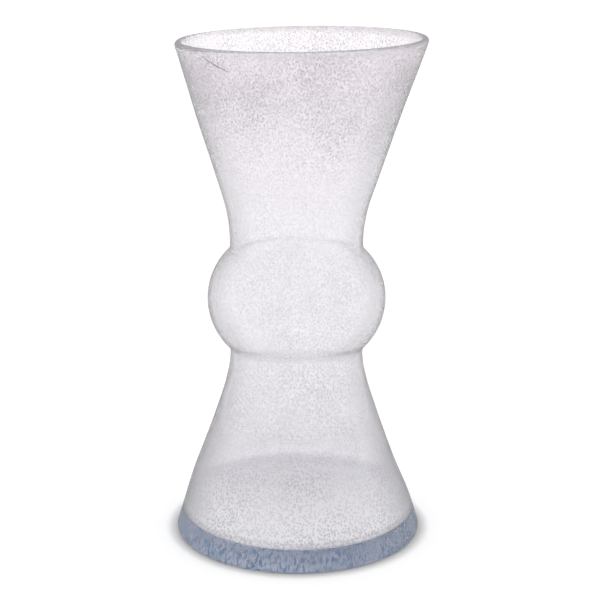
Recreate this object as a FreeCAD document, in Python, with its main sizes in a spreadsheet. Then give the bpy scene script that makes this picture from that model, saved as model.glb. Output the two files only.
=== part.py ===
import FreeCAD, Part
import math
import os
import Sketcher

# Hyacinth forcing vase of hand-blown seeded glass, standing on a thick clear foot.
# Millimetres, +Z up. The origin is the centre of the resting face and +Z is the axis of the vase.
# The vase is a body of revolution: a skirt that holds the water, a bulb between two tight necks,
# and a funnel whose neck carries the flower bulb clear of the water.

# Lengths in millimetres, angles in degrees. Heights follow one another up from the table.
SIZES = {
    "base_diameter": 110.4,
    "foot_height": 10.0,
    "foot_lean_angle": 16.8,
    "foot_centre_thickness": 5.0,
    "arris_radius": 1.0,
    "pontil_diameter": 43.0,
    "pontil_depth": 1.5,
    "skirt_height": 72.7,
    "lower_neck_diameter": 58.4,
    "lower_crease_radius": 5.6,
    "bulb_lower_height": 24.3,
    "bulb_diameter": 78.2,
    "bulb_upper_height": 24.1,
    "upper_crease_radius": 4.6,
    "upper_neck_diameter": 58.0,
    "flare_radius": 72.0,
    "funnel_height": 88.9,
    "mouth_diameter": 107.0,
    "wall_thickness": 3.0,
    "floor_thickness": 3.0,
    "floor_corner_radius": 8.0,
    # How far the skirt's curve keeps the direction of the neck and of the foot, as shares of its height.
    "skirt_neck_share": 0.225,
    "skirt_foot_share": 0.24,
}

# Heights and radii that several outlines share, as expressions over the sheet.
FOOT_LEAN = "(Sizes.foot_lean_angle * 1 deg)"
SEAM_RADIUS = f"Sizes.base_diameter / 2 - Sizes.foot_height * tan{FOOT_LEAN}"
LOWER_NECK = "Sizes.foot_height + Sizes.skirt_height"
BULB_MIDDLE = f"{LOWER_NECK} + Sizes.bulb_lower_height"
UPPER_NECK = f"{BULB_MIDDLE} + Sizes.bulb_upper_height"
LIP_RADIUS = "Sizes.wall_thickness / 2"
LIP_CENTRE_RADIUS = f"Sizes.mouth_diameter / 2 - {LIP_RADIUS}"
LIP_CENTRE_HEIGHT = f"{UPPER_NECK} + Sizes.funnel_height - {LIP_RADIUS}"

FULL_TURN = 360.0
# Two heights or radii closer than this share of the wall are the same.
SAME_PLACE_SHARE = 0.01

# How a constraint names the origin and the upright axis of its sketch, and the points of a curve.
ORIGIN_POINT = (-1, 1)
VERTICAL_AXIS_INDEX = -2
START, END, CENTRE = range(1, 4)


def make_sheet(doc):
    """Put every size on the sheet, one row each, under its own name."""
    sheet = doc.addObject("Spreadsheet::Sheet", "Sizes")
    for row, (name, value) in enumerate(SIZES.items(), 1):
        sheet.set(f"A{row}", name)
        sheet.set(f"B{row}", str(value))
        sheet.setAlias(f"B{row}", name)
    doc.recompute()


def number(owner, expression):
    """Value of an expression over the sheet, as a plain number."""
    return float(owner.evalExpression(expression))


def point(x, y):
    return FreeCAD.Vector(x, y, 0)


def arc(centre, radius, first_angle, last_angle):
    """Counter-clockwise arc between two angles in radians."""
    circle = Part.Circle(centre, FreeCAD.Vector(0, 0, 1), radius)
    return Part.ArcOfCircle(circle, first_angle, last_angle)


def new_sketch(body, name):
    """Sketch on the upright plane through the axis: X is the radius and Y the height."""
    sketch = body.newObject("Sketcher::SketchObject", name)
    plane = next(item for item in body.Origin.OriginFeatures if item.Role == "XZ_Plane")
    sketch.AttachmentSupport = [(plane, "")]
    sketch.MapMode = "FlatFace"
    return sketch


def bind(sketch, name, kind, reference, expression):
    """Add one dimension whose value follows the sheet."""
    index = sketch.addConstraint(Sketcher.Constraint(kind, *reference, number(sketch, expression)))
    sketch.renameConstraint(index, name)
    sketch.setExpression(f"Constraints.{name}", expression)


def fix_point(sketch, name, geometry, end, radius, height):
    """Place one point of the outline by its radius and its height."""
    bind(sketch, f"{name}_radius", "DistanceX", (*ORIGIN_POINT, geometry, end), radius)
    bind(sketch, f"{name}_height", "DistanceY", (*ORIGIN_POINT, geometry, end), height)


def fix_height(sketch, name, geometry, end, height):
    bind(sketch, name, "DistanceY", (*ORIGIN_POINT, geometry, end), height)


def relate(sketch, kind, *reference):
    sketch.addConstraint(Sketcher.Constraint(kind, *reference))


def revolve(body, sketch, kind, name):
    """Turn a sketch about the axis of the vase, as added or as removed glass."""
    feature = body.newObject(f"PartDesign::{kind}", name)
    feature.Profile = sketch
    feature.ReferenceAxis = (sketch, ["V_Axis"])
    feature.Angle = FULL_TURN
    body.Document.recompute()
    return feature


def ring_edges(shape, low, high):
    """Names of the level round edges that lie between two heights."""
    level = SAME_PLACE_SHARE * (high - low)
    names = []
    for index, edge in enumerate(shape.Edges, 1):
        box = edge.BoundBox
        if low < box.ZMin and box.ZMax < high and box.ZLength < level:
            names.append(f"Edge{index}")
    return names


def round_edges(body, base, names, radius, label):
    fillet = body.newObject("PartDesign::Fillet", label)
    fillet.Base = (base, names)
    fillet.setExpression("Radius", radius)
    body.Document.recompute()
    return fillet


def add_bowl_arc(sketch, name, rim_radius, rim_height, centre_height):
    """Shallow bowl-shaped arc, level at the axis and rising to its rim. Its centre is on the axis."""
    reach = number(sketch, rim_radius)
    low = number(sketch, centre_height)
    rise = number(sketch, rim_height) - low
    radius = (reach ** 2 + rise ** 2) / (2 * rise)
    rim_angle = math.atan2(rise - radius, reach)
    bowl = sketch.addGeometry(arc(point(0, low + radius), radius, -math.pi / 2, rim_angle))
    relate(sketch, "PointOnObject", bowl, CENTRE, VERTICAL_AXIS_INDEX)
    relate(sketch, "PointOnObject", bowl, START, VERTICAL_AXIS_INDEX)
    fix_height(sketch, f"{name}_centre_height", bowl, START, centre_height)
    fix_point(sketch, f"{name}_rim", bowl, END, rim_radius, rim_height)
    return bowl


def add_seat(sketch):
    """The dished seat where the vessel and the foot are fused."""
    return add_bowl_arc(sketch, "seat", SEAM_RADIUS, "Sizes.foot_height", "Sizes.foot_centre_thickness")


def half_bulb_radius(sketch, half_height, neck_diameter, crease_radius):
    """Radius of the bulb's arc that runs tangent into the crease at one neck."""
    swell = number(sketch, f"(Sizes.bulb_diameter - {neck_diameter}) / 2")
    crease = number(sketch, crease_radius)
    height = number(sketch, half_height)
    return ((crease - swell) ** 2 - crease ** 2 + height ** 2) / (2 * swell)


def funnel_lean(sketch):
    """Angle between the funnel's wall and the axis: tangent to the flare and to the lip's round."""
    flare_radius = number(sketch, "Sizes.flare_radius")
    across = number(sketch, f"Sizes.upper_neck_diameter / 2 + Sizes.flare_radius - ({LIP_CENTRE_RADIUS})")
    up = number(sketch, f"{LIP_CENTRE_HEIGHT} - ({UPPER_NECK})")
    reach = flare_radius + number(sketch, LIP_RADIUS)
    return math.atan2(up, across) - math.acos(reach / math.hypot(across, up))


def add_skirt(sketch, name, inset, rim_radius, rim_height, neck_radius):
    """The skirt's curve: one cubic whose middle poles lie in line with the foot and with the neck."""
    rise = f"(Sizes.skirt_height - {inset})"
    foot_pole_radius = f"{rim_radius} - Sizes.skirt_foot_share * {rise} * tan{FOOT_LEAN}"
    foot_pole_height = f"{rim_height} + Sizes.skirt_foot_share * {rise}"
    neck_pole_height = f"{LOWER_NECK} - Sizes.skirt_neck_share * {rise}"
    places = [(rim_radius, rim_height), (foot_pole_radius, foot_pole_height),
              (neck_radius, neck_pole_height), (neck_radius, LOWER_NECK)]
    poles = [point(number(sketch, radius), number(sketch, height)) for radius, height in places]
    degree = len(poles) - 1
    curve = Part.BSplineCurve(poles, [len(poles), len(poles)], [0.0, 1.0], False, degree)
    skirt = sketch.addGeometry(curve)
    first_pole = sketch.GeometryCount
    sketch.exposeInternalGeometry(skirt)
    fix_point(sketch, f"{name}_foot_pole", first_pole + 1, CENTRE, foot_pole_radius, foot_pole_height)
    fix_point(sketch, f"{name}_neck_pole", first_pole + 2, CENTRE, neck_radius, neck_pole_height)
    return skirt


def add_wall_face(sketch, name, inset):
    """One face of the wall, from the skirt's lower rim to the end of the straight funnel.

    The inner face is the outer one set in by the wall, so arcs that bulge lose the wall from their
    radius, arcs that pinch gain it, and the centres stay where they are.
    """
    rim_radius = f"{SEAM_RADIUS} - {inset} / cos{FOOT_LEAN} - {inset} * tan{FOOT_LEAN}"
    rim_height = f"Sizes.foot_height + {inset}"
    lower_neck_radius = f"Sizes.lower_neck_diameter / 2 - {inset}"
    upper_neck_radius = f"Sizes.upper_neck_diameter / 2 - {inset}"
    bulb_radius = f"Sizes.bulb_diameter / 2 - {inset}"
    lower_crease_radius = f"Sizes.lower_crease_radius + {inset}"
    upper_crease_radius = f"Sizes.upper_crease_radius + {inset}"
    flare_radius = f"Sizes.flare_radius + {inset}"

    skirt = add_skirt(sketch, name, inset, rim_radius, rim_height, lower_neck_radius)

    # Lower crease and lower half of the bulb, which meet on the line between their centres.
    neck = point(number(sketch, lower_neck_radius), number(sketch, LOWER_NECK))
    equator = point(number(sketch, bulb_radius), number(sketch, BULB_MIDDLE))
    crease = number(sketch, lower_crease_radius)
    radius = half_bulb_radius(
        sketch, "Sizes.bulb_lower_height", "Sizes.lower_neck_diameter", lower_crease_radius)
    turn = math.asin((equator.y - neck.y) / (radius + crease))
    if neck.x + crease < equator.x - radius:
        turn = math.pi - turn
    lower_crease = sketch.addGeometry(
        arc(point(neck.x + crease, neck.y), crease, math.pi - turn, math.pi))
    lower_bulb = sketch.addGeometry(arc(point(equator.x - radius, equator.y), radius, -turn, 0))

    # Upper half of the bulb and upper crease.
    neck = point(number(sketch, upper_neck_radius), number(sketch, UPPER_NECK))
    crease = number(sketch, upper_crease_radius)
    radius = half_bulb_radius(
        sketch, "Sizes.bulb_upper_height", "Sizes.upper_neck_diameter", upper_crease_radius)
    turn = math.asin((neck.y - equator.y) / (radius + crease))
    if neck.x + crease < equator.x - radius:
        turn = math.pi - turn
    upper_bulb = sketch.addGeometry(arc(point(equator.x - radius, equator.y), radius, 0, turn))
    upper_crease = sketch.addGeometry(
        arc(point(neck.x + crease, neck.y), crease, math.pi, math.pi + turn))

    # The flare leaves the neck upright and runs into the straight funnel.
    lean = funnel_lean(sketch)
    bend = number(sketch, flare_radius)
    flare_centre = point(neck.x + bend, neck.y)
    flare = sketch.addGeometry(arc(flare_centre, bend, math.pi - lean, math.pi))
    outward = point(math.cos(lean), -math.sin(lean))
    lip_centre = point(number(sketch, LIP_CENTRE_RADIUS), number(sketch, LIP_CENTRE_HEIGHT))
    lip_reach = number(sketch, f"{LIP_RADIUS} - {inset}")
    funnel_line = Part.LineSegment(flare_centre - outward * bend, lip_centre + outward * lip_reach)
    funnel = sketch.addGeometry(funnel_line)

    fix_point(sketch, f"{name}_lower_neck", lower_crease, END, lower_neck_radius, LOWER_NECK)
    fix_point(sketch, f"{name}_bulb", lower_bulb, END, bulb_radius, BULB_MIDDLE)
    fix_point(sketch, f"{name}_upper_neck", upper_crease, START, upper_neck_radius, UPPER_NECK)
    bind(sketch, f"{name}_lower_crease", "Radius", (lower_crease,), lower_crease_radius)
    bind(sketch, f"{name}_upper_crease", "Radius", (upper_crease,), upper_crease_radius)
    bind(sketch, f"{name}_flare", "Radius", (flare,), flare_radius)
    relate(sketch, "Horizontal", lower_crease, CENTRE, lower_crease, END)
    relate(sketch, "Horizontal", lower_bulb, CENTRE, lower_bulb, END)
    relate(sketch, "Horizontal", upper_bulb, CENTRE, upper_bulb, START)
    relate(sketch, "Horizontal", upper_crease, CENTRE, upper_crease, START)
    relate(sketch, "Horizontal", flare, CENTRE, flare, END)
    relate(sketch, "Coincident", skirt, END, lower_crease, END)
    relate(sketch, "Tangent", lower_crease, START, lower_bulb, START)
    relate(sketch, "Coincident", lower_bulb, END, upper_bulb, START)
    relate(sketch, "Tangent", upper_bulb, END, upper_crease, END)
    relate(sketch, "Coincident", upper_crease, START, flare, END)
    relate(sketch, "Tangent", flare, START, funnel, START)
    return skirt, funnel, rim_radius, rim_height


def draw_vessel_section(body):
    """Half section of the blown glass, cut through the axis."""
    sketch = new_sketch(body, "vessel_section")
    outer_skirt, outer_funnel, _, _ = add_wall_face(sketch, "outer", "0")
    inner_skirt, inner_funnel, rim_radius, rim_height = add_wall_face(
        sketch, "inner", "Sizes.wall_thickness")

    lean = funnel_lean(sketch)
    lip_centre = point(number(sketch, LIP_CENTRE_RADIUS), number(sketch, LIP_CENTRE_HEIGHT))
    lip = sketch.addGeometry(arc(lip_centre, number(sketch, LIP_RADIUS), -lean, math.pi - lean))
    fix_point(sketch, "lip_centre", lip, CENTRE, LIP_CENTRE_RADIUS, LIP_CENTRE_HEIGHT)
    bind(sketch, "lip", "Radius", (lip,), LIP_RADIUS)
    relate(sketch, "Tangent", outer_funnel, END, lip, START)
    relate(sketch, "Tangent", lip, END, inner_funnel, END)

    floor_centre = "Sizes.foot_centre_thickness + Sizes.floor_thickness"
    seat = add_seat(sketch)
    floor = add_bowl_arc(sketch, "floor", rim_radius, rim_height, floor_centre)
    floor_point = point(0, number(sketch, floor_centre))
    seat_point = point(0, number(sketch, "Sizes.foot_centre_thickness"))
    middle = sketch.addGeometry(Part.LineSegment(floor_point, seat_point))
    relate(sketch, "Coincident", seat, END, outer_skirt, START)
    relate(sketch, "Coincident", floor, END, inner_skirt, START)
    relate(sketch, "Coincident", floor, START, middle, START)
    relate(sketch, "Coincident", middle, END, seat, START)
    return sketch


def make_vessel(doc):
    """The blown vessel: one wall of seeded glass from the closed floor up to the rounded lip."""
    body = doc.addObject("PartDesign::Body", "seeded_glass_vessel")
    blown = revolve(body, draw_vessel_section(body), "Revolution", "blown_wall")
    # Above the seam and below the lower neck, the only level edge is where floor and wall meet.
    spare = SAME_PLACE_SHARE * number(blown, "Sizes.wall_thickness")
    low = number(blown, "Sizes.foot_height") + spare
    high = number(blown, LOWER_NECK) - spare
    corner = ring_edges(blown.Shape, low, high)
    round_edges(body, blown, corner, "Sizes.floor_corner_radius", "floor_corner")
    return body


def draw_foot_section(body):
    """Half section of the foot: flat below, leaning in at the side and dished on top."""
    sketch = new_sketch(body, "foot_section")
    seam = point(number(sketch, SEAM_RADIUS), number(sketch, "Sizes.foot_height"))
    corner = point(number(sketch, "Sizes.base_diameter / 2"), 0)
    middle = point(0, number(sketch, "Sizes.foot_centre_thickness"))
    seat = add_seat(sketch)
    side = sketch.addGeometry(Part.LineSegment(seam, corner))
    rest = sketch.addGeometry(Part.LineSegment(corner, point(0, 0)))
    axis = sketch.addGeometry(Part.LineSegment(point(0, 0), middle))
    relate(sketch, "Coincident", seat, END, side, START)
    relate(sketch, "Coincident", side, END, rest, START)
    relate(sketch, "Coincident", rest, END, axis, START)
    relate(sketch, "Coincident", axis, END, seat, START)
    relate(sketch, "Coincident", rest, END, *ORIGIN_POINT)
    relate(sketch, "Horizontal", rest)
    bind(sketch, "base_radius", "DistanceX", (*ORIGIN_POINT, side, END), "Sizes.base_diameter / 2")
    return sketch


def draw_pontil_section(body):
    """Half section of the shallow dish ground out of the underside."""
    sketch = new_sketch(body, "pontil_section")
    reach = number(sketch, "Sizes.pontil_diameter / 2")
    depth = number(sketch, "Sizes.pontil_depth")
    radius = (reach ** 2 + depth ** 2) / (2 * depth)
    dish = sketch.addGeometry(
        arc(point(0, depth - radius), radius, math.acos(reach / radius), math.pi / 2))
    axis = sketch.addGeometry(Part.LineSegment(point(0, depth), point(0, 0)))
    rest = sketch.addGeometry(Part.LineSegment(point(0, 0), point(reach, 0)))
    relate(sketch, "PointOnObject", dish, CENTRE, VERTICAL_AXIS_INDEX)
    relate(sketch, "Coincident", dish, END, axis, START)
    relate(sketch, "Coincident", axis, END, rest, START)
    relate(sketch, "Coincident", rest, END, dish, START)
    relate(sketch, "Coincident", axis, END, *ORIGIN_POINT)
    relate(sketch, "Vertical", axis)
    relate(sketch, "Horizontal", rest)
    bind(sketch, "pontil_radius", "DistanceX", (*ORIGIN_POINT, rest, END), "Sizes.pontil_diameter / 2")
    fix_height(sketch, "pontil_depth", axis, START, "Sizes.pontil_depth")
    return sketch


def make_foot(doc):
    """The thick clear foot: dished on top for the vessel, flat and ground underneath."""
    body = doc.addObject("PartDesign::Body", "clear_glass_foot")
    gather = revolve(body, draw_foot_section(body), "Revolution", "foot_gather")
    full_volume = gather.Shape.Volume
    pontil = revolve(body, draw_pontil_section(body), "Groove", "pontil_dish")
    if not pontil.Shape.Volume < full_volume:
        raise RuntimeError("the pontil dish removes no glass")
    return body, pontil


def round_arris(body, pontil):
    """Ease the sharp corner round the resting face."""
    spare = SAME_PLACE_SHARE * number(pontil, "Sizes.wall_thickness")
    widest = number(pontil, "Sizes.base_diameter") - spare
    rings = [f"Edge{index}" for index, edge in enumerate(pontil.Shape.Edges, 1)
             if edge.BoundBox.ZMax < spare and edge.BoundBox.XLength > widest]
    return round_edges(body, pontil, rings, "Sizes.arris_radius", "arris")


def check(doc, bodies):
    """Stop unless every object recomputed and every sub-part is one valid solid."""
    for item in doc.Objects:
        if {"Invalid", "Error"} & set(item.State):
            raise RuntimeError(f"{item.Name} failed: {item.State}")
    for body in bodies:
        if body.Shape.isNull() or not body.Shape.isValid() or len(body.Shape.Solids) != 1:
            raise RuntimeError(f"{body.Label} is not one valid solid")


doc = FreeCAD.newDocument("hyacinth_vase")
make_sheet(doc)
vessel = make_vessel(doc)
foot, pontil = make_foot(doc)
round_arris(foot, pontil)
bodies = [vessel, foot]
for body in bodies:
    body.Placement = FreeCAD.Placement()
doc.recompute()
check(doc, bodies)

os.makedirs("parts", exist_ok=True)
for body in bodies:
    body.Shape.exportStep(f"parts/{body.Label}.step")
    print(f"{body.Label}: {body.Shape.Volume:.1f} cubic millimetres of glass")
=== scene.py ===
import math

import bmesh
import bpy
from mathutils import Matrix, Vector, noise


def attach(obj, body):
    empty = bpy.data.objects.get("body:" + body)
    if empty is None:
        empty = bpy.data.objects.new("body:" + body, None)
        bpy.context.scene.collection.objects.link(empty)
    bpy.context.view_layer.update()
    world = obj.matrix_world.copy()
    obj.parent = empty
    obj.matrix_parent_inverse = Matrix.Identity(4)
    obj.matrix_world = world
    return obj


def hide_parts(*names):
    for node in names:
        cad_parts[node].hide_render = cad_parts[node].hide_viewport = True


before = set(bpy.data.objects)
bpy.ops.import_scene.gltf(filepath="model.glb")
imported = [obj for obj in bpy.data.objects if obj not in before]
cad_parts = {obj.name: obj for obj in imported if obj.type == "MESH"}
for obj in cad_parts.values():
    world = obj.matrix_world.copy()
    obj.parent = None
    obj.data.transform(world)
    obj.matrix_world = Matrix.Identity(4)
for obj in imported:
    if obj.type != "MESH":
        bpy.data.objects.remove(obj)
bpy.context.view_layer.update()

# Hyacinth forcing vase of seeded glass on a thick clear foot. Metres, +Z up, the axis of the vase
# is the Z axis and the floor is at height zero.

MILLIMETRE = 0.001

# Camera of the photograph, from its fitted pinhole. The picture is square, and the sensor's width is
# in millimetres.
PICTURE_PIXELS = 600
FOCAL_PIXELS = 1547.06
SENSOR_WIDTH = 36.0
CAMERA_PITCH = math.radians(15.55)
CAMERA_BACK = 656.34 * MILLIMETRE
CAMERA_HEIGHT = 288.22 * MILLIMETRE
CAMERA_SIDE = 1.0 * MILLIMETRE
CAMERA_NEAR = 10.0 * MILLIMETRE

# Sizes of the vessel's wall, repeated from the frame's source.
BASE_RADIUS = 55.2 * MILLIMETRE
FOOT_HEIGHT = 10.0 * MILLIMETRE
FOOT_LEAN = math.radians(16.8)
FOOT_CENTRE = 5.0 * MILLIMETRE
ARRIS_RADIUS = 1.0 * MILLIMETRE
PONTIL_RADIUS = 21.5 * MILLIMETRE
PONTIL_DEPTH = 1.5 * MILLIMETRE
SKIRT_HEIGHT = 72.7 * MILLIMETRE
LOWER_NECK_RADIUS = 29.2 * MILLIMETRE
LOWER_CREASE = 5.6 * MILLIMETRE
BULB_LOWER = 24.3 * MILLIMETRE
BULB_RADIUS = 39.1 * MILLIMETRE
BULB_UPPER = 24.1 * MILLIMETRE
UPPER_CREASE = 4.6 * MILLIMETRE
UPPER_NECK_RADIUS = 29.0 * MILLIMETRE
FLARE_RADIUS = 72.0 * MILLIMETRE
FUNNEL_HEIGHT = 88.9 * MILLIMETRE
MOUTH_RADIUS = 53.5 * MILLIMETRE
WALL = 3.0 * MILLIMETRE
FLOOR_THICKNESS = 3.0 * MILLIMETRE
FLOOR_CORNER = 8.0 * MILLIMETRE
SKIRT_NECK_SHARE = 0.225
SKIRT_FOOT_SHARE = 0.24

# Shares of the floor corner's size: how far up and in it reaches, and how far its ends pull to the rim.
CORNER_UP_SHARE = 1.1
CORNER_IN_SHARE = 0.95
CORNER_PULL_SHARE = 0.6

SEAM_RADIUS = BASE_RADIUS - FOOT_HEIGHT * math.tan(FOOT_LEAN)
LOWER_NECK = FOOT_HEIGHT + SKIRT_HEIGHT
BULB_MIDDLE = LOWER_NECK + BULB_LOWER
UPPER_NECK = BULB_MIDDLE + BULB_UPPER
MOUTH = UPPER_NECK + FUNNEL_HEIGHT
LIP_RADIUS = WALL / 2

# How far the hand-made vessel's axis wanders to the right at each height, in millimetres, how much
# its mouth tilts, and the waviness of its wall.
SWAY = [(10.0, 0.0), (30.0, -0.8), (60.0, -0.6), (131.0, -0.5), (180.0, 0.2), (220.0, 1.7)]
MOUTH_TILT = math.tan(math.radians(0.9))
TILT_START = 175.0 * MILLIMETRE
WAVE_LENGTH = 22.0 * MILLIMETRE
WAVE_DEPTH = 0.12 * MILLIMETRE
WAVE_FULL = 3 * FOOT_HEIGHT

# Long bubbles drawn out in the funnel's wall: angle round the axis in degrees and height in
# millimetres of one end, the same of the other end, and half the width in millimetres.
LONG_BUBBLES = [
    (-139.5, 217.2, -123.5, 211.5, 0.9),
    (-93.5, 211.3, -85.0, 207.2, 0.22),
    (-113.5, 210.8, -109.0, 208.9, 0.22),
]
BUBBLE_FLATNESS = 0.3

# Where the two gathers are fused, nothing bends or mirrors light: the faces there are see-through. Each
# piece keeps one material, because a volume is left only through the material it was entered by, so
# the faces of the seam and of the long bubbles carry a mark that the material reads.
SEAM_MARK = "seam"
BUBBLE_MARK = "long_bubble"
SEAM_GAP = 0.02 * MILLIMETRE

# Fineness of the meshes.
ON_AXIS = 0.0001 * MILLIMETRE
TURN_STEPS = 240
LEAST_STEPS = 3
CURVE_STEP = 1.5 * MILLIMETRE
ARC_STEP = math.radians(12)
BOWL_STEPS = 26
FOOT_SIDE_STEPS = 12
FOOT_RING_STEPS = 24
BUBBLE_STEPS = 28
BUBBLE_SIDES = 12
FLOOR_SIDES = 128

# Seed bubbles: cells per metre, how the cells are bent and drawn out upwards, from where to where in
# a cell a bubble fades, and the clouds that they gather in.
SEED_SCALE = 1100.0
SEED_BEND_SCALE = 0.45 * SEED_SCALE
SEED_BEND = 1.1 / SEED_SCALE
SEED_FADE = (0.2, 0.6)
SEED_DRAWN = 0.75
CLOUD_SCALE = 45.0
CLOUD_SPAN = (0.35, 0.65)
CLOUD_STRENGTH = (0.65, 1.25)

# How strong each thing is in the seeded glass, by share of the vase's height.
SEED_STRENGTH = [
    (0.0, 0.75), (0.05, 0.95), (0.08, 0.6), (0.2, 0.42), (0.36, 0.34),
    (0.74, 0.2), (0.84, 0.55), (0.93, 0.62), (1.0, 0.5),
]
MILKY_STRENGTH = [(0.0, 0.65), (0.055, 0.65), (0.075, 0.1), (0.09, 0.0), (0.985, 0.0), (0.995, 0.4)]
SKIN_STRENGTH = [(0.045, 0.35), (0.06, 0.85), (0.1, 0.65), (0.16, 0.42), (0.28, 0.18), (0.4, 0.0)]
FUNNEL_STRENGTH = [(0.6, 0.0), (0.85, 0.35), (0.95, 1.0)]
# The painted edge shade is full up the wall and fades out just below the lip.
EDGE_SHADE_STRENGTH = [(0.94, 1.0), (0.99, 0.0)]

# Seeded glass: tints, and what is taken from light on its way. Pairs run from clear glass to seeds,
# or from clear glass to milky glass. The spans say from where to where a skin counts as outward, as
# no longer upright, and as seen edge on.
WHITE = (1, 1, 1, 1)
CLEAR_TINT = (0.925, 0.913, 0.935, 1)
FUNNEL_TINT = (0.935, 0.90, 0.93, 1)
# Painted shade: the colour the outer skin darkens to where it is seen edge on.
EDGE_SHADE_TINT = (0.52, 0.51, 0.53, 1)
SEED_TINT = (0.34, 0.33, 0.35, 1)
MILKY_WHITE = (0.985, 0.965, 1, 1)
MILKY_GREY = (0.53, 0.52, 0.55, 1)
OUTWARD_SPAN = (0.0, 0.1)
LYING_SPAN = (0.6, 0.9)
EDGE_SHADE_SPAN = (0.3, 0.8)
SEEDED_ROUGHNESS = (0.10, 0.30)
MILKY_ROUGHNESS = (0.0, 0.3)
SEEDED_TRANSMISSION = (0.99, 0.92)
SEAM_CLEAR = (0.8, 0.2)
SEEDED_BUMP = 0.04 * MILLIMETRE
SEEDED_COLOUR = (0.52, 0.50, 0.53, 1)
SEEDED_DENSITY = 18.0

# Clear glass of the foot: cords per metre, how far they are drawn out upwards, from where to where in
# the noise a cord fades in, and how strong the specks are. Pairs run from clear glass to marks.
CORD_SCALE = 1150.0
CORD_DRAWN = 0.25
CORD_SPAN = (0.48, 0.58)
SPECK_STRENGTH = 0.6
CORD_TINT = (0.18, 0.305, 0.49, 1)
CORD_ROUGHNESS = (0.03, 0.14)
CORD_TRANSMISSION = (1.0, 0.85)
CORD_BUMP = 0.05 * MILLIMETRE
FOOT_COLOUR = (0.28, 0.33, 0.37, 1)
FOOT_DENSITY = 11.0

# Both glasses.
GLASS_IOR = 1.5
BUMP_STRENGTH = 0.4

# Floor and light round the vase. The floor's painted contact shade and its painted glow under the vase reach
# to radii of their own. The glow seen through glass runs from the open floor to under the vase, painted
# light where the vase's shade falls.
FLOOR_RADIUS = 8.0
FLOOR_DROP = 0.1 * MILLIMETRE
FLOOR_WHITE = (0.93, 0.93, 0.93, 1)
FLOOR_MIRRORED = (0.4, 0.4, 0.4, 1)
FLOOR_SHADE = (0.66, 0.645, 0.63, 1)
SHADE_RADIUS = 1.09 * BASE_RADIUS
GLOW_RADIUS = 1.6 * BASE_RADIUS
OPEN_GLOW = 0.22
GLASS_GLOW = (0.35, 1.0)
ROOM_LIGHT = 0.95
ROOM_SEEN = 0.05
ROOM_MIRRORED = -0.55


def arc_points(centre, radius, first, last):
    """Points along an arc, both ends included."""
    turn = abs(last - first)
    count = max(LEAST_STEPS, math.ceil(turn * radius / CURVE_STEP), math.ceil(turn / ARC_STEP))
    return [centre + radius * Vector((math.cos(a), math.sin(a)))
            for a in (first + (last - first) * k / count for k in range(count + 1))]


def cubic_points(poles):
    """Points along the cubic Bezier curve of four poles."""
    count = math.ceil((poles[-1] - poles[0]).length / CURVE_STEP)
    points = []
    for k in range(count + 1):
        t = k / count
        shares = ((1 - t) ** 3, 3 * t * (1 - t) ** 2, 3 * t * t * (1 - t), t ** 3)
        points.append(sum((pole * share for pole, share in zip(poles, shares)), Vector((0, 0))))
    return points


def half_bulb(half_height, neck_radius, crease):
    """Radius of the bulb's arc that runs tangent into the crease."""
    swell = BULB_RADIUS - neck_radius
    return ((crease - swell) ** 2 - crease ** 2 + half_height ** 2) / (2 * swell)


def wall_face(inset):
    """Half outline of one face of the wall, from the skirt's rim up to the lip, with the lip's centre and
    the lean of the funnel there."""
    rise = SKIRT_HEIGHT - inset
    rim_radius = SEAM_RADIUS - inset / math.cos(FOOT_LEAN) - inset * math.tan(FOOT_LEAN)
    rim = Vector((rim_radius, FOOT_HEIGHT + inset))
    neck = Vector((LOWER_NECK_RADIUS - inset, LOWER_NECK))
    foot_pole = rim + SKIRT_FOOT_SHARE * rise * Vector((-math.tan(FOOT_LEAN), 1))
    neck_pole = neck - Vector((0, SKIRT_NECK_SHARE * rise))
    points = cubic_points([rim, foot_pole, neck_pole, neck])

    middle = Vector((BULB_RADIUS - inset, BULB_MIDDLE))
    crease = LOWER_CREASE + inset
    radius = half_bulb(BULB_LOWER, LOWER_NECK_RADIUS, crease)
    turn = math.asin(BULB_LOWER / (radius + crease))
    points += arc_points(neck + Vector((crease, 0)), crease, math.pi, math.pi - turn)[1:]
    points += arc_points(middle - Vector((radius, 0)), radius, -turn, 0)[1:]

    crease = UPPER_CREASE + inset
    radius = half_bulb(BULB_UPPER, UPPER_NECK_RADIUS, crease)
    turn = math.asin(BULB_UPPER / (radius + crease))
    upper_neck = Vector((UPPER_NECK_RADIUS - inset, UPPER_NECK))
    points += arc_points(middle - Vector((radius, 0)), radius, 0, turn)[1:]
    points += arc_points(upper_neck + Vector((crease, 0)), crease, math.pi + turn, math.pi)[1:]

    lip = Vector((MOUTH_RADIUS - LIP_RADIUS, MOUTH - LIP_RADIUS))
    flare = Vector((UPPER_NECK_RADIUS + FLARE_RADIUS, UPPER_NECK))
    across, up = flare.x - lip.x, lip.y - flare.y
    lean = math.atan2(up, across) - math.acos((FLARE_RADIUS + LIP_RADIUS) / math.hypot(across, up))
    points += arc_points(flare, FLARE_RADIUS + inset, math.pi, math.pi - lean)[1:]
    outward = Vector((math.cos(lean), -math.sin(lean)))
    end = lip + outward * (LIP_RADIUS - inset)
    start = points[-1]
    count = math.ceil((end - start).length / CURVE_STEP)
    points += [start.lerp(end, k / count) for k in range(1, count + 1)]
    return points, lip, lean


def bowl_height(radius, rim_radius, rim_height, centre_height):
    """Height of a shallow bowl-shaped arc at a radius."""
    rise = rim_height - centre_height
    sphere = (rim_radius ** 2 + rise ** 2) / (2 * rise)
    return centre_height + sphere - math.sqrt(sphere ** 2 - radius ** 2)


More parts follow.
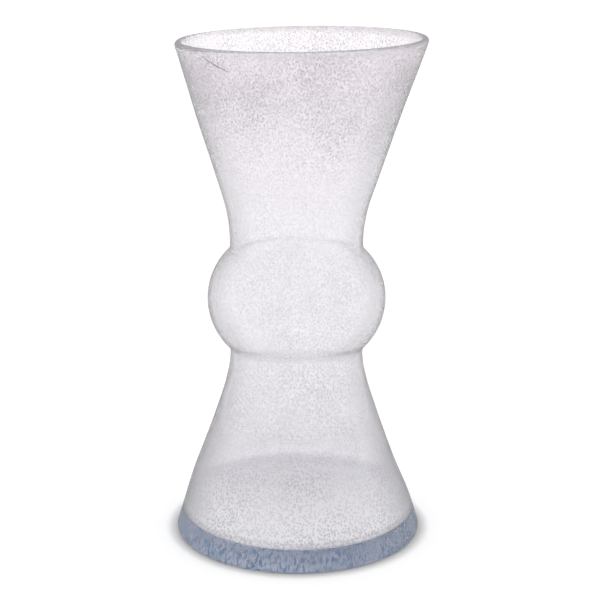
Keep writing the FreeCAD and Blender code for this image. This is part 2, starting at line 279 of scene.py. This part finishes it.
def vessel_outline():
    """Closed outline of the wall: out along the seat, up, over the lip, down and in along the floor."""
    outer, lip, lean = wall_face(0.0)
    inner, _, _ = wall_face(WALL)
    seat = [Vector((r, SEAM_GAP + bowl_height(r, SEAM_RADIUS, FOOT_HEIGHT, FOOT_CENTRE)))
            for r in (SEAM_RADIUS * k / BOWL_STEPS for k in range(BOWL_STEPS))]
    outer[0] = outer[0] + Vector((0, SEAM_GAP))
    round_lip = arc_points(lip, LIP_RADIUS, -lean, math.pi - lean)[1:-1]
    floor_rim = inner[0]
    floor_centre = FOOT_CENTRE + FLOOR_THICKNESS
    # The floor's corner is rounded by a curve from the floor up to the wall.
    corner_height = floor_rim.y + FLOOR_CORNER * CORNER_UP_SHARE
    corner_top = next(k for k, p in enumerate(inner) if p.y > corner_height)
    reach = floor_rim.x - FLOOR_CORNER * CORNER_IN_SHARE
    top = inner[corner_top]
    start = Vector((reach, bowl_height(reach, floor_rim.x, floor_rim.y, floor_centre)))
    corner = cubic_points([top, top.lerp(floor_rim, CORNER_PULL_SHARE),
                           start.lerp(floor_rim, CORNER_PULL_SHARE), start])
    floor = [Vector((r, bowl_height(r, floor_rim.x, floor_rim.y, floor_centre)))
             for r in (reach * k / BOWL_STEPS for k in range(BOWL_STEPS - 1, -1, -1))]
    return seat + outer + round_lip + inner[:corner_top:-1] + corner + floor


def foot_outline():
    """Closed outline of the foot: out along the seat, side, eased arris, resting ring and pontil dish."""
    seat = [Vector((r, bowl_height(r, SEAM_RADIUS, FOOT_HEIGHT, FOOT_CENTRE)))
            for r in (SEAM_RADIUS * k / BOWL_STEPS for k in range(BOWL_STEPS + 1))]
    ring_radius = BASE_RADIUS - ARRIS_RADIUS * math.tan(math.pi / 4 + FOOT_LEAN / 2)
    arris = arc_points(Vector((ring_radius, ARRIS_RADIUS)), ARRIS_RADIUS, FOOT_LEAN, -math.pi / 2)
    side = [seat[-1].lerp(arris[0], k / FOOT_SIDE_STEPS) for k in range(1, FOOT_SIDE_STEPS)]
    ring = [Vector((ring_radius + (PONTIL_RADIUS - ring_radius) * k / FOOT_RING_STEPS, 0))
            for k in range(1, FOOT_RING_STEPS + 1)]
    dish = [Vector((r, PONTIL_DEPTH - bowl_height(r, PONTIL_RADIUS, PONTIL_DEPTH, 0)))
            for r in (PONTIL_RADIUS * k / FOOT_RING_STEPS for k in range(FOOT_RING_STEPS - 1, -1, -1))]
    return seat + side + arris + ring + dish


def eased(value, low, high):
    """Smooth rise from 0 at low to 1 at high."""
    t = min(1.0, max(0.0, (value - low) / (high - low)))
    return t * t * (3 - 2 * t)


def blown_shape(place):
    """The vessel as it was blown: its axis wanders, its mouth tilts and its wall is a little wavy."""
    height = place.z / MILLIMETRE
    shift = SWAY[0][1]
    for (low, first), (high, second) in zip(SWAY, SWAY[1:]):
        if height > low:
            shift = first + (second - first) * eased(height, low, high)
    free = eased(place.z, FOOT_HEIGHT, WAVE_FULL)
    radius = math.hypot(place.x, place.y)
    wave = WAVE_DEPTH * free * noise.noise(place / WAVE_LENGTH)
    swell = 1 + wave / radius if radius > WALL else 1
    tilt = MOUTH_TILT * place.x * eased(place.z, TILT_START, MOUTH)
    return Vector((place.x * swell + shift * MILLIMETRE, place.y * swell, place.z + tilt))


def bubble_path(first_angle, first_height, last_angle, last_height):
    """Points of a long bubble's middle line, halfway through the funnel's wall."""
    middle, _, _ = wall_face(WALL / 2)
    path = []
    for k in range(BUBBLE_STEPS + 1):
        t = k / BUBBLE_STEPS
        angle = math.radians(first_angle + (last_angle - first_angle) * t)
        height = (first_height + (last_height - first_height) * t) * MILLIMETRE
        above = next(i for i, point in enumerate(middle) if point.y > height)
        low, high = middle[above - 1], middle[above]
        radius = low.x + (high.x - low.x) * (height - low.y) / (high.y - low.y)
        path.append(Vector((radius * math.cos(angle), radius * math.sin(angle), height)))
    return path


def add_long_bubbles(mesh):
    """Closed air pockets drawn out in the funnel's wall, their faces turned to the air in them."""
    for *ends, half_width in LONG_BUBBLES:
        path = bubble_path(*ends)
        along = (path[-1] - path[0]).normalized()
        across = along.cross(Vector((path[0].x, path[0].y, 0)).normalized()).normalized()
        depth = across.cross(along) * BUBBLE_FLATNESS
        rings = [[mesh.verts.new(path[0])]]
        for k in range(1, BUBBLE_STEPS):
            swell = half_width * MILLIMETRE * math.sqrt(1 - (2 * k / BUBBLE_STEPS - 1) ** 2)
            rings.append([mesh.verts.new(path[k] + swell * (across * math.cos(a) + depth * math.sin(a)))
                          for a in (2 * math.pi * s / BUBBLE_SIDES for s in range(BUBBLE_SIDES))])
        rings.append([mesh.verts.new(path[-1])])
        faces = join_rings(mesh, rings)
        bmesh.ops.recalc_face_normals(mesh, faces=faces)
        bmesh.ops.reverse_faces(mesh, faces=faces)
        for face in faces:
            face[mesh.faces.layers.float[BUBBLE_MARK]] = 1.0


def join_rings(mesh, rings):
    """Faces between each ring of points and the next; a ring may be a single point."""
    faces = []
    for lower, upper in zip(rings, rings[1:]):
        count = max(len(lower), len(upper))
        for k in range(count):
            after = (k + 1) % count
            if len(lower) == 1:
                faces.append(mesh.faces.new((lower[0], upper[after], upper[k])))
            elif len(upper) == 1:
                faces.append(mesh.faces.new((lower[k], lower[after], upper[0])))
            else:
                faces.append(mesh.faces.new((lower[k], lower[after], upper[after], upper[k])))
    return faces


def turned_piece(name, outline, material, shape=None, bubbles=None):
    """Piece turned about the axis from a closed outline. Its seat's faces are marked as the fused seam."""
    mesh = bmesh.new()
    mesh.faces.layers.float.new(SEAM_MARK)
    mesh.faces.layers.float.new(BUBBLE_MARK)
    seam = mesh.faces.layers.float[SEAM_MARK]
    rings = []
    for point in outline:
        if point.x < ON_AXIS:
            rings.append([mesh.verts.new((0, 0, point.y))])
        else:
            rings.append([mesh.verts.new((point.x * math.cos(a), point.x * math.sin(a), point.y))
                          for a in (2 * math.pi * k / TURN_STEPS for k in range(TURN_STEPS))])
    faces = join_rings(mesh, rings)
    bmesh.ops.recalc_face_normals(mesh, faces=faces)
    for face in faces[:BOWL_STEPS * TURN_STEPS]:
        face[seam] = 1.0
    if bubbles:
        bubbles(mesh)
    if shape:
        for vert in mesh.verts:
            vert.co = shape(vert.co)
    for face in mesh.faces:
        face.smooth = True
    data = bpy.data.meshes.new(name)
    mesh.to_mesh(data)
    mesh.free()
    data.materials.append(material)
    piece = bpy.data.objects.new(name, data)
    bpy.context.scene.collection.objects.link(piece)
    return piece


class Nodes:
    """Short calls for the node tree of a material or of the world."""

    def __init__(self, owner):
        self.owner = owner
        self.owner.use_nodes = True
        self.tree = self.owner.node_tree
        self.tree.nodes.clear()
        kind = "World" if isinstance(owner, bpy.types.World) else "Material"
        self.output = self.tree.nodes.new("ShaderNodeOutput" + kind)

    def add(self, kind, settings=None, **inputs):
        """New node. Inputs are values or other nodes' outputs, named with _ for a space."""
        node = self.tree.nodes.new(kind)
        for key, value in (settings or {}).items():
            setattr(node, key, value)
        for key, value in inputs.items():
            self.put(node, key.replace("_", " "), value)
        return node

    def put(self, node, key, value):
        """Link an output to a node's input, or set the input's value."""
        socket = node.inputs[key]
        if isinstance(value, bpy.types.NodeSocket):
            self.tree.links.new(value, socket)
        else:
            socket.default_value = value

    def span(self, value, source=(0.0, 1.0), target=(0.0, 1.0)):
        """Value mapped from one span to another and kept inside it."""
        return self.add("ShaderNodeMapRange", Value=value, From_Min=source[0], From_Max=source[1],
                        To_Min=target[0], To_Max=target[1]).outputs["Result"]

    def math(self, operation, *values):
        node = self.add("ShaderNodeMath", {"operation": operation})
        for index, value in enumerate(values):
            self.put(node, index, value)
        return node.outputs["Value"]

    def vector(self, operation, *values, result="Vector"):
        node = self.add("ShaderNodeVectorMath", {"operation": operation})
        for index, value in enumerate(values):
            self.put(node, index, value)
        return node.outputs[result]

    def times(self, first, second):
        return self.math("MULTIPLY", first, second)

    def larger(self, first, second):
        return self.math("MAXIMUM", first, second)

    def one_minus(self, value):
        return self.math("SUBTRACT", 1.0, value)

    def blend(self, factor, first, second):
        """Colour between two colours. The node's colour sockets go by number, because their names repeat."""
        node = self.add("ShaderNodeMix", {"data_type": "RGBA"})
        self.put(node, 0, factor)
        self.put(node, 6, first)
        self.put(node, 7, second)
        return node.outputs[2]

    def mark(self, name):
        """1 on the faces that carry a mark, 0 elsewhere."""
        return self.add("ShaderNodeAttribute", {"attribute_name": name}).outputs["Fac"]

    def place(self):
        return self.add("ShaderNodeTexCoord").outputs["Object"]

    def drawn(self, place, share):
        """Place for a pattern that is drawn out upwards: only a share of each step up counts."""
        return self.add("ShaderNodeMapping", Vector=place, Scale=(1.0, 1.0, share)).outputs["Vector"]

    def upward(self, vector):
        """Part of a place or a direction along the vase's axis."""
        return self.add("ShaderNodeSeparateXYZ", Vector=vector).outputs["Z"]

    def by_height(self, place, stops):
        """Value that follows stops of (share of the vase's height, value)."""
        share = self.math("DIVIDE", self.upward(place), MOUTH)
        ramp = self.add("ShaderNodeValToRGB", Fac=share)
        elements = ramp.color_ramp.elements
        while len(elements) < len(stops):
            elements.new(0.5)
        for element, (position, _) in zip(elements, stops):
            element.position = position
        for element, (_, value) in zip(elements, stops):
            element.color = (value, value, value, 1)
        return ramp.outputs["Color"]

    def bump(self, glass, height, distance):
        """Fine relief on a glass."""
        bump = self.add("ShaderNodeBump", Height=height, Strength=BUMP_STRENGTH, Distance=distance)
        self.put(glass, "Normal", bump.outputs["Normal"])

    def haze(self, colour, density):
        """What light loses on its way through a glass."""
        return self.add("ShaderNodeVolumeAbsorption", Color=colour, Density=density).outputs[0]

    def finish(self, surface, volume=None):
        """Link the output node, and give back the material or the world."""
        self.tree.links.new(surface, self.output.inputs["Surface"])
        if volume:
            self.tree.links.new(volume, self.output.inputs["Volume"])
        return self.owner


def seed_pattern(nodes, place):
    """How much of a seed bubble is at each point of the glass, from 0 in clear glass to 1 in a bubble."""
    bend = nodes.add("ShaderNodeTexNoise", Vector=place, Scale=SEED_BEND_SCALE, Detail=1.0).outputs["Color"]
    bent = nodes.vector("MULTIPLY_ADD", bend, (SEED_BEND,) * 3, place)
    cells = nodes.add("ShaderNodeTexVoronoi", {"feature": "F1"}, Vector=bent, Scale=SEED_SCALE)
    return nodes.span(cells.outputs["Distance"], SEED_FADE, (1.0, 0.0))


def outer_skin(nodes, place, normal):
    """1 where light or sight meets the vessel's outer skin from outside, 0 elsewhere."""
    radial = nodes.vector("NORMALIZE", nodes.vector("MULTIPLY", place, (1, 1, 0)))
    return nodes.span(nodes.vector("DOT_PRODUCT", radial, normal, result="Value"), OUTWARD_SPAN)


def seeded_glass():
    """Glass full of seed bubbles, milky near the foot, on the skirt's outside and at the lip, and with
    painted shade on its outer skin where the wall is seen edge on."""
    nodes = Nodes(bpy.data.materials.new("seeded_glass"))
    place = nodes.place()
    normal = nodes.add("ShaderNodeNewGeometry").outputs["Normal"]
    seam = nodes.mark(SEAM_MARK)

    clouds = nodes.add("ShaderNodeTexNoise", Vector=place, Scale=CLOUD_SCALE, Detail=2.0).outputs["Fac"]
    amount = nodes.span(clouds, CLOUD_SPAN, CLOUD_STRENGTH)
    amount = nodes.times(nodes.by_height(place, SEED_STRENGTH), amount)
    seeds = nodes.times(seed_pattern(nodes, nodes.drawn(place, SEED_DRAWN)), amount)

    outer = outer_skin(nodes, place, normal)
    skin = nodes.times(outer, nodes.by_height(place, SKIN_STRENGTH))
    milky = nodes.larger(nodes.by_height(place, MILKY_STRENGTH), skin)
    solid = nodes.larger(seam, milky)

    facing = nodes.add("ShaderNodeLayerWeight", Blend=0.5).outputs["Facing"]
    lying = nodes.math("ABSOLUTE", nodes.upward(normal))
    upright = nodes.span(lying, LYING_SPAN, (1.0, 0.0))
    # Painted shade: where the upright outer skin is seen edge on, its colour is darkened.
    edge = nodes.times(nodes.span(facing, EDGE_SHADE_SPAN), nodes.by_height(place, EDGE_SHADE_STRENGTH))

    tint = nodes.blend(nodes.by_height(place, FUNNEL_STRENGTH), CLEAR_TINT, FUNNEL_TINT)
    tint = nodes.blend(seeds, tint, SEED_TINT)
    tint = nodes.blend(solid, tint, nodes.blend(seeds, MILKY_WHITE, MILKY_GREY))
    tint = nodes.blend(nodes.times(edge, nodes.times(upright, outer)), tint, EDGE_SHADE_TINT)
    tint = nodes.blend(nodes.mark(BUBBLE_MARK), tint, WHITE)
    roughness = nodes.larger(nodes.span(seeds, target=SEEDED_ROUGHNESS),
                             nodes.span(milky, target=MILKY_ROUGHNESS))
    transmission = nodes.times(nodes.span(seeds, target=SEEDED_TRANSMISSION), nodes.one_minus(solid))
    see_through = nodes.times(seam, nodes.span(seeds, target=SEAM_CLEAR))

    glass = nodes.add("ShaderNodeBsdfPrincipled", IOR=GLASS_IOR, Base_Color=tint, Roughness=roughness,
                      Transmission_Weight=transmission, Alpha=nodes.one_minus(see_through))
    nodes.bump(glass, seeds, SEEDED_BUMP)
    return nodes.finish(glass.outputs[0], nodes.haze(SEEDED_COLOUR, SEEDED_DENSITY))


def clear_glass():
    """Clear pale blue glass with fine upright cords and specks just under its skin."""
    nodes = Nodes(bpy.data.materials.new("clear_glass"))
    place = nodes.place()
    upright = nodes.drawn(place, CORD_DRAWN)
    cords = nodes.add("ShaderNodeTexNoise", Vector=upright, Scale=CORD_SCALE, Detail=2.0).outputs["Fac"]
    specks = nodes.times(seed_pattern(nodes, place), SPECK_STRENGTH)
    marks = nodes.larger(nodes.span(cords, CORD_SPAN), specks)
    glass = nodes.add("ShaderNodeBsdfPrincipled", IOR=GLASS_IOR,
                      Base_Color=nodes.blend(marks, WHITE, CORD_TINT),
                      Roughness=nodes.span(marks, target=CORD_ROUGHNESS),
                      Transmission_Weight=nodes.span(marks, target=CORD_TRANSMISSION),
                      Alpha=nodes.one_minus(nodes.mark(SEAM_MARK)))
    nodes.bump(glass, marks, CORD_BUMP)
    return nodes.finish(glass.outputs[0], nodes.haze(FOOT_COLOUR, FOOT_DENSITY))


def mirrored(nodes, rays):
    """1 for a ray that comes off a mirroring surface. A ray through glass counts as a glossy one too."""
    return nodes.times(rays["Is Glossy Ray"], nodes.one_minus(rays["Is Transmission Ray"]))


def floor_white():
    """Plain white with a painted contact shade round the foot, seen only by the camera. Seen through the
    glass it glows, most under the vase, as painted light, and it is dim where it is mirrored."""
    nodes = Nodes(bpy.data.materials.new("floor_white"))
    rays = nodes.add("ShaderNodeLightPath").outputs
    away = nodes.vector("LENGTH", nodes.place(), result="Value")
    # Painted light: the floor seen through the glass glows most under the vase, where the vase's shade
    # falls.
    under = nodes.span(away, (BASE_RADIUS, GLOW_RADIUS), (1.0, 0.0))
    # Painted contact shade: for the camera the floor is darker and glows less close round the foot.
    open_floor = nodes.span(away, (BASE_RADIUS, SHADE_RADIUS))
    shaded = nodes.times(rays["Is Camera Ray"], nodes.one_minus(open_floor))
    colour = nodes.blend(shaded, FLOOR_WHITE, FLOOR_SHADE)
    colour = nodes.blend(mirrored(nodes, rays), colour, FLOOR_MIRRORED)
    seen_glow = nodes.times(rays["Is Camera Ray"], nodes.span(open_floor, target=(0.0, OPEN_GLOW)))
    glass_glow = nodes.times(rays["Is Transmission Ray"], nodes.span(under, target=GLASS_GLOW))
    glow = nodes.math("ADD", seen_glow, glass_glow)
    both = nodes.add("ShaderNodeAddShader")
    nodes.put(both, 0, nodes.add("ShaderNodeBsdfDiffuse", Color=colour).outputs[0])
    nodes.put(both, 1, nodes.add("ShaderNodeEmission", Strength=glow).outputs[0])
    return nodes.finish(both.outputs[0])


def stage_floor():
    """Round floor, a little below the resting ring so that the two don't share a plane."""
    data = bpy.data.meshes.new("floor")
    mesh = bmesh.new()
    bmesh.ops.create_circle(mesh, cap_ends=True, segments=FLOOR_SIDES, radius=FLOOR_RADIUS)
    mesh.to_mesh(data)
    mesh.free()
    data.materials.append(floor_white())
    floor = bpy.data.objects.new("floor", data)
    floor.location.z = -FLOOR_DROP
    bpy.context.scene.collection.objects.link(floor)


def studio_world():
    """Soft even light from all round, white where it is seen, also through glass, and dim where it is
    mirrored."""
    world = bpy.data.worlds.new("studio")
    bpy.context.scene.world = world
    nodes = Nodes(world)
    rays = nodes.add("ShaderNodeLightPath").outputs
    seen = nodes.larger(rays["Is Camera Ray"], rays["Is Transmission Ray"])
    level = nodes.math("ADD", ROOM_LIGHT, nodes.times(seen, ROOM_SEEN))
    level = nodes.math("ADD", level, nodes.times(mirrored(nodes, rays), ROOM_MIRRORED))
    nodes.finish(nodes.add("ShaderNodeBackground", Color=WHITE, Strength=level).outputs[0])


def photo_camera():
    """The photograph's camera, in front of the vase and looking a little down on it."""
    data = bpy.data.cameras.new("photo_camera")
    data.sensor_width = SENSOR_WIDTH
    data.lens = FOCAL_PIXELS / PICTURE_PIXELS * SENSOR_WIDTH
    data.clip_start = CAMERA_NEAR
    camera = bpy.data.objects.new("photo_camera", data)
    camera.location = (CAMERA_SIDE, -CAMERA_BACK, CAMERA_HEIGHT)
    camera.rotation_euler = (math.pi / 2 - CAMERA_PITCH, 0, 0)
    bpy.context.scene.collection.objects.link(camera)
    bpy.context.scene.camera = camera


vessel = turned_piece("seeded_vessel_glass", vessel_outline(), seeded_glass(),
                      shape=blown_shape, bubbles=add_long_bubbles)
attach(vessel, "root")
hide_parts("seeded_glass_vessel")

foot = turned_piece("clear_foot_glass", foot_outline(), clear_glass())
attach(foot, "root")
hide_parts("clear_glass_foot")

stage_floor()
studio_world()
photo_camera()
bpy.context.scene.view_settings.view_transform = "Standard"

# Light that is mirrored inside the glass needs many bounces before it leaves, and no blur on its way.
cycles = bpy.context.scene.cycles
cycles.max_bounces = 48
cycles.blur_glossy = 0.0
cycles.diffuse_bounces = 8
cycles.glossy_bounces = 32
cycles.transmission_bounces = 32
cycles.transparent_max_bounces = 48
